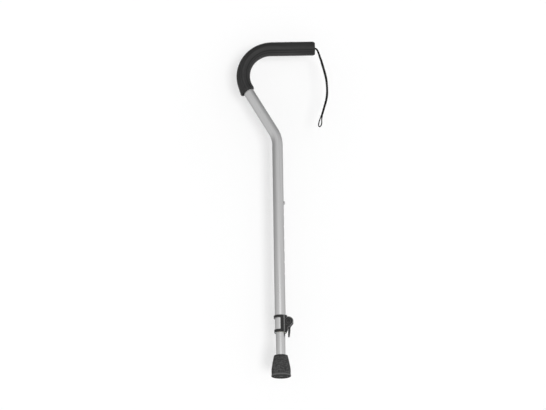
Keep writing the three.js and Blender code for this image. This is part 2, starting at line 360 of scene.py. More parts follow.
class Finish(Nodes):
    def __init__(self, name, color, roughness, metallic=0.0, **more):
        self.material = bpy.data.materials.new(name)
        self.material.use_nodes = True
        super().__init__(self.material.node_tree)
        self.shader = self.tree.nodes["Principled BSDF"]
        self.shader.inputs["Base Color"].default_value = (*color, 1)
        self.shader.inputs["Roughness"].default_value = roughness
        self.shader.inputs["Metallic"].default_value = metallic
        for socket, value in more.items():
            self.shader.inputs[socket.replace("_", " ")].default_value = value
        self.height = None

    def place(self, scale=(1, 1, 1), grain=False):
        if grain:
            source = self.node("Attribute", attribute_name="grain").outputs["Vector"]
        else:
            source = self.node("TexCoord").outputs["Object"]
        mapping = self.node("Mapping")
        mapping.inputs["Scale"].default_value = scale
        self.link(source, mapping.inputs["Vector"])
        return mapping.outputs["Vector"]

    def noise(self, size, stretch=(1, 1, 1), grain=False, detail=4.0, rough=0.55):
        # size is the pattern's own size; a stretch of 20 makes it 20 times as long that way
        made = self.node("TexNoise")
        made.inputs["Scale"].default_value = 1
        made.inputs["Detail"].default_value = detail
        made.inputs["Roughness"].default_value = rough
        self.link(self.place([1 / (size * mm * s) for s in stretch], grain), made.inputs["Vector"])
        return made.outputs["Fac"]

    def cells(self, size, stretch=(1, 1, 1), grain=False):
        made = self.node("TexVoronoi", feature="F1")
        made.inputs["Scale"].default_value = 1
        self.link(self.place([1 / (size * mm * s) for s in stretch], grain), made.inputs["Vector"])
        return made.outputs["Distance"]

    def blend(self, *parts):    # each part is a value and its weight
        total = None
        for value, weight in parts:
            part = value if weight == 1 else self.maths("MULTIPLY", value, weight)
            total = part if total is None else self.maths("ADD", total, part)
        return total

    def tint(self, value, dark, light):
        made = self.node("Mix", data_type="RGBA")
        for socket, color in ((made.inputs[6], dark), (made.inputs[7], light)):
            if isinstance(color, tuple):
                socket.default_value = (*color, 1)
            else:
                self.link(color, socket)
        self.link(value, made.inputs[0])
        return made.outputs[2]

    def factor(self, name):
        return self.node("Attribute", attribute_name=name).outputs["Fac"]

    def paint(self, color):
        self.link(color, self.shader.inputs["Base Color"])

    def rub(self, roughness):
        self.link(roughness, self.shader.inputs["Roughness"])

    def relief(self, height, depth, strength=1.0):  # stacks bumps; depth is in millimetres
        bump = self.node("Bump")
        bump.inputs["Strength"].default_value = strength
        bump.inputs["Distance"].default_value = depth * mm
        self.link(height, bump.inputs["Height"])
        if self.height is not None:
            self.link(self.height, bump.inputs["Normal"])
        self.height = bump.outputs["Normal"]
        self.link(self.height, self.shader.inputs["Normal"])


def grey(value):
    return (value, value, value)


def makeAluminium():            # clear anodised tube: lines drawn along it, faint rubs, a soft haze
    finish = Finish("anodisedTube", grey(0.6), 0.34, 1.0)
    lines = finish.noise(0.35, (1, 1, 160), grain=True, detail=3)
    bands = finish.noise(2.2, (1, 1, 60), grain=True, detail=2)
    haze = finish.noise(26, (1, 1, 2.5), grain=True)
    rubs = finish.ramp(finish.noise(0.5, (1, 1, 34), grain=True, detail=6), 0, 1, 0.66, 0.72)
    shade = finish.blend((lines, 0.5), (bands, 0.5))
    finish.paint(finish.tint(finish.ramp(shade, 0, 1), grey(0.53), grey(0.66)))
    finish.rub(finish.blend((finish.ramp(haze, 0.27, 0.38), 1), (rubs, 0.12),
                            (finish.ramp(lines, -0.03, 0.03), 1)))
    finish.relief(lines, 0.012)
    finish.relief(rubs, 0.01, 0.5)
    return finish.material


def makeFoam():                 # closed-cell foam: fine pits, lines left by the die, a dull shine
    finish = Finish("gripFoam", grey(0.02), 0.6, Sheen_Weight=0.03, Sheen_Roughness=0.5,
                    Specular_IOR_Level=0.36)
    pits = finish.cells(0.75, (1, 1, 1.5), grain=True)
    finePits = finish.cells(0.33, grain=True)
    lines = finish.noise(1.1, (1, 1, 90), grain=True, detail=3)
    bands = finish.noise(4.4, (1, 1, 40), grain=True, detail=2)
    bloom = finish.noise(15, (1, 1, 2), grain=True, detail=5)
    drawn = finish.factor("dieLines")
    shade = finish.ramp(finish.blend((lines, 0.3), (bands, 0.4), (bloom, 0.3)), 0, 1, 0.38, 0.62)
    shade = finish.maths("MULTIPLY", shade, finish.ramp(drawn, 1, 0.1, 0, 1))
    finish.paint(finish.tint(shade, grey(0.005), grey(0.032)))
    finish.rub(finish.ramp(finish.blend((bloom, 1), (drawn, 0.3)), 0.46, 0.7, 0.35, 0.8))
    finish.relief(lines, 0.2, 0.7)
    finish.relief(pits, 0.13, 0.8)
    finish.relief(finePits, 0.05, 0.6)
    return finish.material


def makeMoulding():             # glass-filled nylon: spark-grained skin, its edges painted lighter, partly rubbed wear and partly painted highlight
    finish = Finish("blackMoulding", grey(0.02), 0.42, Specular_IOR_Level=0.42)
    grain = finish.noise(0.28, detail=2)
    swirl = finish.noise(6, detail=5)
    scuffs = finish.ramp(finish.noise(0.5, (7, 1, 1), detail=5), 0, 1, 0.62, 0.74)
    # edges painted lighter from the edge factor: partly rubbed wear, partly painted highlight
    rubbedAndLit = finish.maths("MULTIPLY", finish.ramp(finish.factor("wearAndHighlight"), 0, 1, 0.25, 0.9),
                          finish.ramp(finish.noise(1.6, detail=5), 0.35, 1, 0.35, 0.6))
    shade = finish.blend((finish.ramp(swirl, 0, 0.35), 1), (scuffs, 0.4))
    skin = finish.tint(shade, grey(0.008), grey(0.036))
    finish.paint(finish.tint(rubbedAndLit, skin, grey(0.19)))
    finish.rub(finish.blend((finish.ramp(swirl, 0.38, 0.52), 1), (rubbedAndLit, -0.1)))
    finish.relief(grain, 0.03, 0.7)
    finish.relief(scuffs, 0.01, 0.5)
    return finish.material


def makeRubber():               # grey-black rubber: mould bloom in patches, a lip painted lighter for scuffs and a painted highlight, painted shade on the tread and the top shoulder
    finish = Finish("tipRubber", grey(0.05), 0.78, Specular_IOR_Level=0.34)
    patches = finish.noise(5, (1, 1, 0.6), detail=6, rough=0.65)
    streaks = finish.noise(2.2, (1, 1, 9), detail=4)
    grain = finish.noise(0.22, detail=3)
    spots = finish.noise(1.8, detail=6, rough=0.7)
    height = finish.node("SeparateXYZ")
    finish.link(finish.place(), height.inputs["Vector"])
    up = height.outputs["Z"]
    dust = finish.maths("MULTIPLY", finish.ramp(up, 0.7, 0, 3 * mm, 12 * mm),
                        finish.ramp(spots, 0, 1, 0.45, 0.62))
    # the lip is painted lighter: partly scuffs, partly a painted highlight on its rounded edge
    lip = finish.maths("MULTIPLY", finish.ramp(up, 0, 1, 0.4 * mm, 1.2 * mm),
                       finish.ramp(up, 1, 0, 2.8 * mm, 4 * mm))
    scuffAndHighlight = finish.maths("MULTIPLY", lip, finish.ramp(spots, 0.25, 1, 0.4, 0.56))
    marks = finish.blend((finish.ramp(patches, 0, 1, 0.4, 0.62), 0.55),
                         (finish.ramp(streaks, 0, 1, 0.35, 0.65), 0.2), (dust, 0.3), (scuffAndHighlight, 2.4))
    # painted shade: the tread underneath and the shoulder at the top are darkened
    dark = finish.maths("MULTIPLY", finish.ramp(up, 0.05, 1, 0.1 * mm, 1.3 * mm),   # the tread and shoulder
                        finish.ramp(up, 1, 0.05, 40.5 * mm, 42.2 * mm))
    finish.paint(finish.tint(finish.maths("MULTIPLY", marks, dark), grey(0.014), grey(0.105)))
    finish.rub(finish.ramp(patches, 0.62, 0.85))
    finish.relief(patches, 0.14, 0.5)
    finish.relief(grain, 0.04, 0.8)
    return finish.material


def makeNylon():                # natural nylon: milky, with faint flow clouds
    finish = Finish("paleNylon", (0.7, 0.68, 0.62), 0.42, Subsurface_Weight=0.15, Subsurface_Scale=0.002)
    clouds = finish.noise(4, detail=4)
    finish.paint(finish.tint(finish.ramp(clouds, 0, 1), (0.64, 0.62, 0.55), (0.76, 0.74, 0.69)))
    finish.rub(finish.ramp(clouds, 0.36, 0.5))
    finish.relief(finish.noise(0.3, detail=2), 0.02, 0.6)
    return finish.material


def makeSteel(name, dark, light, roughness):    # turned or rolled steel, with fine scratches
    finish = Finish(name, grey(light), roughness, 1.0)
    scratches = finish.noise(0.12, (1, 14, 3), detail=4)
    stains = finish.noise(3, detail=5)
    finish.paint(finish.tint(finish.ramp(stains, 0, 1), grey(dark), grey(light)))
    finish.rub(finish.maths("ADD", finish.ramp(stains, roughness - 0.06, roughness + 0.08),
                            finish.ramp(scratches, -0.04, 0.04)))
    finish.relief(scratches, 0.008)
    return finish.material


def makeCordYarn():             # braided polyester: hair-fine filaments that catch a little light
    finish = Finish("braidYarn", grey(0.011), 0.78, Sheen_Weight=0.03, Sheen_Roughness=0.4,
                    Specular_IOR_Level=0.2)
    filaments = finish.noise(0.07, (1, 1, 9), grain=True, detail=2)
    fade = finish.noise(9, grain=True, detail=3)
    shade = finish.ramp(finish.blend((filaments, 0.5), (fade, 0.5)), 0, 1)
    finish.paint(finish.tint(shade, grey(0.007), grey(0.018)))
    finish.rub(finish.ramp(filaments, 0.62, 0.82))
    finish.relief(filaments, 0.04, 0.8)
    return finish.material


aluminium = makeAluminium()
foamSkin = makeFoam()
moulding = makeMoulding()
rubber = makeRubber()
nylon = makeNylon()
steel = makeSteel("hardwareSteel", 0.5, 0.62, 0.3)
blackSteel = makeSteel("blackenedSteel", 0.03, 0.065, 0.38)
yarn = makeCordYarn()
print("finishes made:", len(bpy.data.materials))


# the wrist strap: one cord, doubled, that hangs from the handle's end and twists on itself

strap = {"diameter": 2.5, "braids": 6, "pitch": 5.2, "lift": 0.13, "sides": 24, "pace": 0.3}

# each row: the middle between the two strands (x, z), half their spacing, how far the pair has turned
strapRows = [
    (82.6, 709.4, 1.9, 0), (84, 709.1, 1.9, 2), (85.3, 708.4, 1.9, 4), (86.4, 707.4, 1.9, 6),
    (87.3, 706, 1.9, 9), (88.7, 703.2, 1.8, 14), (90.1, 699.4, 1.7, 21), (92.4, 691.6, 1.45, 35),
    (95.4, 682, 1.3, 52), (98.6, 669.5, 1.27, 70), (102.2, 655, 1.27, 76), (105.2, 640, 1.27, 66),
    (106.3, 626, 1.27, 50), (106.4, 612, 1.27, 58), (105.4, 600, 1.27, 70), (102.8, 588.5, 1.27, 76),
    (99.2, 576.5, 1.27, 64), (95.9, 565, 1.4, 50), (93.2, 556, 2.1, 42), (91.4, 549, 3.9, 38),
    (90.3, 541.5, 5.3, 37), (90, 537.6, 4.4, 37), (89.9, 535.8, 2.4, 37),
]
strapBottom = (89.9, 0, 535.2)


def strapStrand(side):
    points = []
    for x, z, spacing, turn in strapRows:
        angle = math.radians(turn)
        points.append((x + side * spacing * math.sin(angle), -side * spacing * math.cos(angle), z))
    return points


def smoothRoute(points, pace):
    # a centripetal Catmull-Rom curve through the points, then even steps along it, in metres
    p = np.array(points, float)
    p = np.vstack([2 * p[0] - p[1], p, 2 * p[-1] - p[-2]])
    fine = []
    for a, b, c, d in zip(p, p[1:], p[2:], p[3:]):
        t = np.cumsum([0] + [np.linalg.norm(v) ** 0.5 for v in (b - a, c - b, d - c)])
        for u in np.linspace(t[1], t[2], 24, endpoint=False):
            ab = a + (b - a) * (u - t[0]) / (t[1] - t[0])
            bc = b + (c - b) * (u - t[1]) / (t[2] - t[1])
            cd = c + (d - c) * (u - t[2]) / (t[3] - t[2])
            abc = ab + (bc - ab) * (u - t[0]) / (t[2] - t[0])
            bcd = bc + (cd - bc) * (u - t[1]) / (t[3] - t[1])
            fine.append(abc + (bcd - abc) * (u - t[1]) / (t[2] - t[1]))
    fine = np.array(fine + [p[-2]])
    gone = np.concatenate([[0], np.cumsum(np.linalg.norm(np.diff(fine, axis=0), axis=1))])
    even = np.linspace(0, gone[-1], round(gone[-1] / pace) + 1)
    return np.stack([np.interp(even, gone, fine[:, k]) for k in range(3)], 1) * mm, even


def braidAlong(name, line, gone, closed=False):
    # a braided tube: two sets of yarns wind opposite ways, over and under each other
    sides = strap["sides"]
    radius = strap["diameter"] / 2
    ahead = np.gradient(line, axis=0)
    ahead /= np.linalg.norm(ahead, axis=1)[:, None]
    flank = np.cross(ahead[0], (0.3, 0.9, 0.1))
    angle = np.arange(sides) * 2 * math.pi / sides
    points = []
    grain = []
    for spot, way, s in zip(line, ahead, gone):
        flank = flank - way * flank.dot(way)        # carried along without twisting
        flank /= np.linalg.norm(flank)
        other = np.cross(way, flank)
        turn = 2 * math.pi * s / strap["pitch"]
        right = strap["braids"] * angle / 2 + turn * strap["braids"] / 2
        left = strap["braids"] * angle / 2 - turn * strap["braids"] / 2
        weave = np.abs(np.cos(right)) * np.abs(np.cos(left))
        r = (radius - strap["lift"] + strap["lift"] * np.sqrt(weave) * 1.25) * mm
        points += list(spot + (np.cos(angle) * r)[:, None] * flank + (np.sin(angle) * r)[:, None] * other)
        lean = np.where(np.sin(right) * np.sin(left) > 0, 1, -1) * s * 0.6
        around = angle + lean / radius
        grain += list(np.stack([np.cos(around) * radius, np.sin(around) * radius,
                                np.full(sides, s)], 1) * mm)
    rings = len(line)
    faces = []
    for i in range(rings if closed else rings - 1):
        a = i * sides
        b = (i + 1) % rings * sides
        faces += [(a + k, a + (k + 1) % sides, b + (k + 1) % sides, b + k) for k in range(sides)]
    if not closed:
        faces.append(tuple(range(sides))[::-1])
        faces.append(tuple(range((rings - 1) * sides, rings * sides)))
    mesh = bpy.data.meshes.new(name)
    mesh.from_pydata([tuple(p) for p in points], [], faces)
    piece = bpy.data.objects.new(name, mesh)
    bpy.context.scene.collection.objects.link(piece)
    layGrain(piece, grain)
    shadeSmooth(piece, 60)
    return piece


def makeStrap():
    points = strapStrand(1) + [strapBottom] + strapStrand(-1)[::-1]
    line, gone = smoothRoute(points, strap["pace"])
    piece = braidAlong("wristStrap", line, gone)
    fitPiece(piece, yarn, "strap_loop", "strap_cord", "wrist_strap")
    print("wrist strap:", round(gone[-1], 1), "mm of cord")


makeStrap()


# the cord's stopper knot inside the handle, with its two tails running out through the end plug
knotShape = {"x": 60.0, "size": 1.5, "tails": (61.5, 82), "spacing": 1.9}


def makeKnot():
    height = handle["height"]
    t = np.linspace(0, 2 * math.pi, 240, endpoint=False)
    size = knotShape["size"]
    line = np.stack([
        knotShape["x"] + np.sin(3 * t) * size * 0.75,
        (np.sin(t) + 2 * np.sin(2 * t)) * size * 0.86,
        height + (np.cos(t) - 2 * np.cos(2 * t)) * size * 0.86,
    ], 1)
    step = np.linalg.norm(np.roll(line, -1, axis=0) - line, axis=1)
    knot = braidAlong("strapKnot", line * mm, np.cumsum(step), closed=True)
    start, end = knotShape["tails"]
    tails = []
    for side in (-1, 1):
        points = [(start, side * 1.2, height), (start + 6, side * knotShape["spacing"], height),
                  (end, side * knotShape["spacing"], height)]
        tails.append(braidAlong("tail", *smoothRoute(points, strap["pace"])))
    selectOnly(knot)
    for tail in tails:
        tail.select_set(True)
    bpy.ops.object.join()
    fitPiece(knot, yarn, "upper_shaft", "strap_cord", "strap_knot")


# the tubes

handle = {"height": 709.4, "kinkHeight": 511.8, "slant": 29.9, "bend": 60, "noseEnd": 79.4}
outerTube = {"radius": 11.1, "wall": 1.2, "bottom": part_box("outer_tube")[0].z / mm}
innerTube = {"bore": 8.325, "radius": 9.525}
heights = {"top": 368.7, "pitch": 25.4, "count": 7, "radius": 3.8}
shoeWindow = {"halfWidth": 4.5, "bottom": 106.3, "top": 121.7}
screwHole = {"radius": 1.8, "height": 124.35}


def handleLine():               # the upper tube's line: up, over the kink, round the handle's bend
    bend = handle["bend"]
    slant = math.radians(handle["slant"])
    kinkReach = bend * math.tan(slant / 2)
    turn = 90 + handle["slant"]
    bendReach = bend * math.tan(math.radians(turn) / 2)
    rise = handle["height"] - handle["kinkHeight"]
    corner = (-rise * math.tan(slant), handle["height"])
    straight = handle["kinkHeight"] - kinkReach - outerTube["bottom"]
    slantRun = rise / math.cos(slant) - kinkReach - bendReach
    noseRun = handle["noseEnd"] - corner[0] - bendReach
    low = (corner[0] + bendReach * math.sin(slant), corner[1] - bendReach * math.cos(slant))
    moves = [(straight, 0, 1), (bend, -handle["slant"], 12), (slantRun, 0, 1), (bend, turn, 40),
             (noseRun, 0, 1)]
    return moves, low, turn, noseRun


def makeOuterTube():
    moves = handleLine()[0]
    start = (0, outerTube["bottom"])
    tube = sweepTube("outerTube", outerTube["radius"], start, 0, moves)
    applied(tube, "SOLIDIFY", thickness=outerTube["wall"] * mm, offset=-1, use_even_offset=True)
    roundEdges(tube, 0.3, 2, 50)
    tools = [rodAlong("X", heights["radius"], 5, 15, (0, 0, heights["top"] - i * heights["pitch"]))
             for i in range(heights["count"])]
    window = shoeWindow
    tools.append(makeBlock("window", (5, -window["halfWidth"], window["bottom"]),
                           (15, window["halfWidth"], window["top"])))
    tools.append(rodAlong("Y", screwHole["radius"], 5, 15, (0, 0, screwHole["height"]), 24))
    combine(tube, tools)
    shadeSmooth(tube, 30)
    layGrain(tube, straighten(tube, walkLine(start, 0, moves))[2])
    fitPiece(tube, aluminium, "upper_shaft", "tube_aluminium", "outer_tube")


def makeInnerTube():
    ends = [corner.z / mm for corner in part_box("inner_tube")]
    tube = turnPiece("innerTube", ringProfile(innerTube["bore"], innerTube["radius"], *ends), 96, ring=True)
    roundEdges(tube, 0.3, 2, 50)
    combine(tube, [rodAlong("X", heights["radius"], 5, 15, (0, 0, heights["top"]))])
    shadeSmooth(tube, 30)
    layGrain(tube)
    fitPiece(tube, aluminium, "lower_shaft", "tube_aluminium", "inner_tube")


makeKnot()
makeOuterTube()
makeInnerTube()
print("tubes drawn")


# the foam grip: slid on over the bend, so its skin stretches thin outside and creases inside

grip = {"radius": 14.7, "bore": 11.45, "noseEnd": 82.8, "belowBend": 5, "thinning": 0.85, "flare": 3.3,
        "flareReach": 17, "creases": 0.32, "ridges": 0.14, "nose": (6.2, 4), "lip": (5, 1.6),
        "closing": 1.3, "dieLines": (-60, -42, 118, 152)}


def makeGrip():
    _, low, turn, noseRun = handleLine()
    slant = math.radians(handle["slant"])
    start = (low[0] + grip["belowBend"] * math.sin(slant), low[1] - grip["belowBend"] * math.cos(slant))
    reach = noseRun + grip["noseEnd"] - handle["noseEnd"]
    fine = 8                                        # the last stretch, with closer rings for its round end
    moves = [(grip["belowBend"], 0, 8), (handle["bend"], turn, 90), (reach - fine, 0, 54), (fine, 0, 16)]
    foam = sweepTube("foamGrip", grip["radius"], start, -handle["slant"], moves)
    thickness = grip["radius"] - grip["bore"]
    applied(foam, "SOLIDIFY", thickness=thickness * mm, offset=-1, use_even_offset=True)
    roundEdges(foam, 0.9, 4, 50)
    stations = walkLine(start, -handle["slant"], moves)
    points, tilt, grain = straighten(foam, stations)
    across, sideways, along = grain.T
    out = np.hypot(across, sideways)
    angle = np.arctan2(sideways, across)
    bendFrom = grip["belowBend"] * mm
    bendLength = math.radians(turn) * handle["bend"] * mm
    inBend = np.clip((along - bendFrom) / bendLength, 0, 1)
    stretch = np.sin(inBend * math.pi) ** 0.7
    skin = np.clip((out / mm - grip["bore"] - 0.6) / (grip["radius"] - grip["bore"] - 0.6), 0, 1)
    grow = -grip["thinning"] * stretch * (0.65 - 0.35 * np.cos(angle))      # thinnest outside the bend
    waves = np.sin(along / mm * 2.1 + 0.9 * np.sin(along / mm * 0.37))
    grow += -grip["creases"] * stretch * np.clip(np.cos(angle), 0, 1) ** 3 * np.clip(waves, 0, 1) ** 2
    grow += grip["ridges"] * np.sin(angle * 13 + 0.8 * np.sin(angle * 3))
    lumps = [noise.noise(Vector((a * 160, b * 160, c * 60))) for a, b, c in grain]
    grow = (grow + 0.16 * np.array(lumps)) * skin
    wall = (out / mm - grip["bore"]) / (grip["radius"] - grip["bore"])
    toNose = stations[-1, 3] - along / mm
    # past the tube's end the bore closes in
    closing = grip["closing"] * np.clip(1.5 - toNose / 2, 0, 1) * (1 - wall)
    for (depth, height), gone in ((grip["nose"], toNose), (grip["lip"], along / mm)):
        inwards = 1 - np.clip(gone / depth, 0, 1)
        grow -= height * (1 - np.sqrt(1 - inwards ** 2)) * wall             # both ends are rounded over
    grow -= closing
    mouth = np.clip(1 - along / mm / grip["flareReach"], 0, 1) ** 2
    grow += mouth * grip["flare"] * (0.55 - 0.45 * np.cos(angle))           # it gapes at its lower mouth
    scale = grow * mm / out
    points[:, 0] += across * scale * np.cos(tilt)
    points[:, 2] -= across * scale * np.sin(tilt)
    points[:, 1] += sideways * scale
    setVerts(foam, points)
    shadeSmooth(foam, 60)
    layGrain(foam, grain)
    lines = sum(np.exp(-((np.degrees(angle) - line) / 5) ** 2) for line in grip["dieLines"])
    layFactor(foam, "dieLines", np.clip(lines, 0, 1))
    fitPiece(foam, foamSkin, "upper_shaft", "grip_foam", "foam_grip")


makeGrip()


# the plug in the handle's end

plug = {"flange": 10.05, "stem": 9.45, "inner": 67, "seat": 79.7, "face": 82.3, "hole": 1.6, "gap": 1.9,
        "ribs": 8}


def makePlug():
    body = turnPiece("handleEndPlug", [
        (plug["stem"] - 0.9, plug["inner"]), (plug["stem"], plug["inner"] + 1.4),
        (plug["stem"], plug["seat"]), (plug["flange"], plug["seat"]), (plug["flange"], plug["face"] - 0.8),
        (7.6, plug["face"]),
        (6.9, plug["face"] - 0.5), (4.4, plug["face"] - 0.5)], 72)
    roundEdges(body, 0.25, 2)
    cuts = []
    for side in (-1, 1):
        hole = turnPiece("hole", [(plug["hole"], 60), (plug["hole"], plug["face"] - 1.1),
                                  (plug["hole"] + 0.25, plug["face"] - 0.5), (plug["hole"] + 0.5, 84)], 32)
        cuts.append(layAlong(hole, "X", (0, side * plug["gap"], 0)))
    layAlong(body, "X", (0, 0, 0))
    combine(body, cuts)
    for rib in range(plug["ribs"]):     # slots between the ribs that grip the tube
        angle = 2 * math.pi * (rib + 0.5) / plug["ribs"]
        spot = (73, 9.7 * math.cos(angle), 9.7 * math.sin(angle))
        slot = rodAlong("X", 0.7, -7, 4.5, spot, 12)
        combine(body, [slot])
    setDown(body, (0, 0, handle["height"]))
    shadeSmooth(body)
    fitPiece(body, moulding, "upper_shaft", "black_moulding", "handle_end_plug")


makePlug()
print("handle finished")


# the height button, its spring and the bush that steadies the inner tube

button = {"radius": 3.4, "base": 7.2, "shoulder": 12.7, "tip": 14.1}
spring = {"face": 6.9, "thickness": 0.7, "width": 6.4, "apex": 330, "knee": 360, "top": 377}
glide = {"radius": 9.5, "bore": 5, "stem": 7.95, "bottom": 380, "seat": 388.3, "top": 391.3}


def makeButton():
    rise = button["tip"] - button["shoulder"]
    dome = [(button["radius"] * math.cos(a), button["shoulder"] + rise * math.sin(a))
            for a in (math.radians(11.25 * i) for i in range(1, 8))]
    profile = [(button["radius"] - 0.3, button["base"]), (button["radius"], button["base"] + 0.3),
               (button["radius"], 8.6), (button["radius"] - 0.25, 8.9), (button["radius"] - 0.25, 9.5),
               (button["radius"], 9.8), (button["radius"], button["shoulder"])]
    knob = turnPiece("snapButton", profile + dome + [(0, button["tip"])], 64)
    layAlong(knob, "X", (0, 0, heights["top"]))
    shadeSmooth(knob, 40)
    fitPiece(knob, steel, "height_button", "hardware_steel", "snap_button")


def makeSpring():               # a leaf bent into a narrow V, with a rounded nose and straight legs
    face, apex = spring["face"], spring["apex"]
    nose = [(2.2 * math.sin(math.radians(a)), apex + 2.2 - 2.2 * math.cos(math.radians(a)))
            for a in range(0, 76, 15)]
    half = nose + [(face - 0.5, spring["knee"] - 3), (face - 0.1, spring["knee"]), (face, spring["knee"] + 3),
                   (face, spring["top"])]
    outline = [(-x, z) for x, z in half[:0:-1]] + half
    thin = spring["thickness"]
    inside = []
    for (x0, z0), (x1, z1), (x2, z2) in zip([outline[0]] + outline, outline, outline[1:] + [outline[-1]]):
        way = Vector((x2 - x0, z2 - z0)).normalized()
        inside.append((x1 - way.y * thin, z1 + way.x * thin))
    leaf = drawPlate("snapSpring", outline + inside[::-1], spring["width"] / 2)
    roundEdges(leaf, 0.12, 2, 40)
    shadeSmooth(leaf)
    fitPiece(leaf, steel, "lower_shaft", "hardware_steel", "snap_spring")
    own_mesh(leaf)


def makeGlideBush():
    bush = turnPiece("glideBush", [
        (glide["bore"], glide["bottom"]), (glide["stem"] - 0.4, glide["bottom"]),
        (glide["stem"], glide["bottom"] + 2), (glide["stem"], glide["seat"] - 1.6),
        (glide["stem"] - 0.3, glide["seat"] - 1.2), (glide["stem"] - 0.3, glide["seat"]),
        (glide["radius"], glide["seat"]), (glide["radius"], glide["top"]),
        (glide["bore"] + 0.8, glide["top"]), (glide["bore"], glide["top"] - 0.8)], 72, ring=True)
    combine(bush, [makeBlock("split", (-0.5, 4, glide["bottom"] - 1), (0.5, 11, glide["top"] + 1))])
    roundEdges(bush, 0.15, 2, 40)
    shadeSmooth(bush)
    fitPiece(bush, nylon, "lower_shaft", "pale_nylon", "glide_bush")


makeButton()
makeSpring()
makeGlideBush()
print("height button finished")


# the clamp: a collar on the outer tube, with a cam lever that drives a shoe through a window

collar = {"bore": 11.5, "radius": 13.4, "lowRadius": 12.5, "bottom": 91.2, "top": 127.4, "band": 6.1,
          "windowTo": 0, "rib": 1.5, "ribHighlightCrest": 0.85, "ribX": 7.7, "grain": 0.3}
housing = {"halfWidth": 9, "slot": 5.3, "slotBottom": 103.5, "slotTop": 124.6}
housingSide = [(7, 91.2), (11.4, 91.2), (15.5, 98.5), (15.5, 121), (13.4, 127.4), (7, 127.4)]
earFoot = [(9, 104), (15, 101.6), (18.4, 101.6)]
pivot = {"x": 16.8, "z": 114, "ear": 10, "hole": 2.3, "pin": 2}


def makeCollar():
    c = collar
    sleeve = turnPiece("clampCollar", [(c["bore"], c["bottom"]), (c["lowRadius"], c["bottom"]),
                                       (c["lowRadius"] + 0.3, c["bottom"] + c["band"]),
                                       (c["radius"], c["top"] - c["band"]), (c["radius"], c["top"]),
                                       (c["bore"], c["top"])], 96, ring=True)
    roundEdges(sleeve, 0.7, 3, 50)
    low, high = c["bottom"] + c["band"], c["top"] - c["band"]
    window = makeBlock("window", (-20, -20, low), (c["windowTo"], 20, high))
    roundEdges(window, 1.6, 4)
    combine(sleeve, [window])
    body = drawPlate("body", housingSide, housing["halfWidth"])
    roundEdges(body, 0.8, 3)
    arc = [(pivot["x"] + pivot["ear"] * math.cos(a), pivot["z"] + pivot["ear"] * math.sin(a))
           for a in (math.radians(degrees) for degrees in range(-14, 200, 6))]
    ears = drawPlate("ears", arc + earFoot, housing["halfWidth"])
    roundEdges(ears, 0.8, 3)
    ribs = []
    for side in (-1, 1):        # a stiffening rib down each flank
        y = side * math.sqrt((c["radius"] - 0.35) ** 2 - c["ribX"] ** 2)
        rib = turnPiece("rib", [(c["rib"], c["bottom"] + 0.6), (c["rib"], c["top"] - 0.6)], 32)
        ribs.append(setDown(roundEdges(rib, 0.5, 3), (c["ribX"], y, 0)))
    combine(sleeve, [body, ears] + ribs, "UNION")
    h = housing
    tools = [turnPiece("bore", [(c["bore"], 80), (c["bore"], 140)], 96)]
    tools.append(makeBlock("slot", (5, -h["slot"], h["slotBottom"]), (30, h["slot"], h["slotTop"])))
    tools.append(rodAlong("Y", pivot["hole"], -15, 15, (pivot["x"], 0, pivot["z"])))
    tools.append(rodAlong("Y", screwHole["radius"], 5, 18, (0, 0, screwHole["height"]), 24))
    for side in (-1, 1):        # a moulded-in ring round the pin on each ear
        groove = turnPiece("groove", ringProfile(5, 8, 8.4, 9.6), 72, ring=True)
        tools.append(layAlong(groove, "Y", (pivot["x"], 0 if side > 0 else -18, pivot["z"])))
    combine(sleeve, tools)
    castSmooth(sleeve, c["grain"], 3)
    # the crest of each rib is painted light all the way down: a painted highlight
    highlightCrest = math.hypot(c["radius"], c["ribHighlightCrest"])
    markWearAndHighlight(sleeve, lambda x, y, z: (np.hypot(x, y) > highlightCrest) & (abs(x - c["ribX"]) < 1) & (abs(y) > 9),
             sheltered=low)
    fitPiece(sleeve, moulding, "upper_shaft", "black_moulding", "clamp_collar")


cam = {"closed": 4.9, "open": 4.1, "turn": 120, "halfWidth": 5}
lever = {"paddleHalfWidth": 7, "paddleTop": 101, "grips": 5, "gripPitch": 2.6, "gripFrom": 86, "grain": 0.25}
leverTail = [
    (21.6, 110), (21.5, 106), (20.9, 102), (20.2, 98), (19.6, 92), (19, 87),
    (18.8, 84.4), (18.2, 83.3), (17, 82.9), (15.8, 83.3), (15.3, 84.4), (15.3, 87),
    (15.5, 92), (15.9, 98), (15.9, 102), (15.6, 105.6), (13.8, 110),
]


def makeLever():
    head = []
    for i in range(31):         # the cam's radius falls evenly while the lever opens
        angle = (cam["turn"] + 60) * i / 30
        radius = cam["closed"] - (cam["closed"] - cam["open"]) * min(1, angle / cam["turn"])
        head.append((pivot["x"] - radius * math.cos(math.radians(angle)),
                     pivot["z"] + radius * math.sin(math.radians(angle))))
    arm = drawPlate("clampLever", head + leverTail, cam["halfWidth"])
    foot = [p for p in leverTail if p[1] <= lever["paddleTop"]]
    paddle = drawPlate("paddle", foot, lever["paddleHalfWidth"])
    half = lever["paddleHalfWidth"]
    corners = makeBlock("corners", (10, -half, 82.8), (30, half, 101.2))
    selectOnly(corners)
    applied(corners, "BEVEL", width=3 * mm, segments=5, limit_method="ANGLE")
    combine(paddle, [corners], "INTERSECT")
    combine(arm, [paddle], "UNION")
    ridges = []
    for i in range(lever["grips"]):     # finger ridges across the paddle's outer face
        z = lever["gripFrom"] + i * lever["gripPitch"]
        x = 19 + (z - 87) * 0.12
        ridges.append(rodAlong("Y", 0.55, -half + 1.6, half - 1.6, (x, 0, z), 20))
    combine(arm, ridges, "UNION")
    combine(arm, [rodAlong("Y", pivot["hole"], -15, 15, (pivot["x"], 0, pivot["z"]))])
    castSmooth(arm, lever["grain"], 2)
    markWearAndHighlight(arm)
    fitPiece(arm, moulding, "clamp_lever_arm", "black_moulding", "clamp_lever")


pinEnds = {"head": -10.5, "shoulder": -9.3, "groove": 9.1, "tail": 10.3, "end": 10.9, "headRadius": 3.4}
clip = {"bore": 1.8, "radius": 3.6, "from": 9.4, "to": 10, "mouth": 2.4, "bite": 0.62, "bites": 2.05}


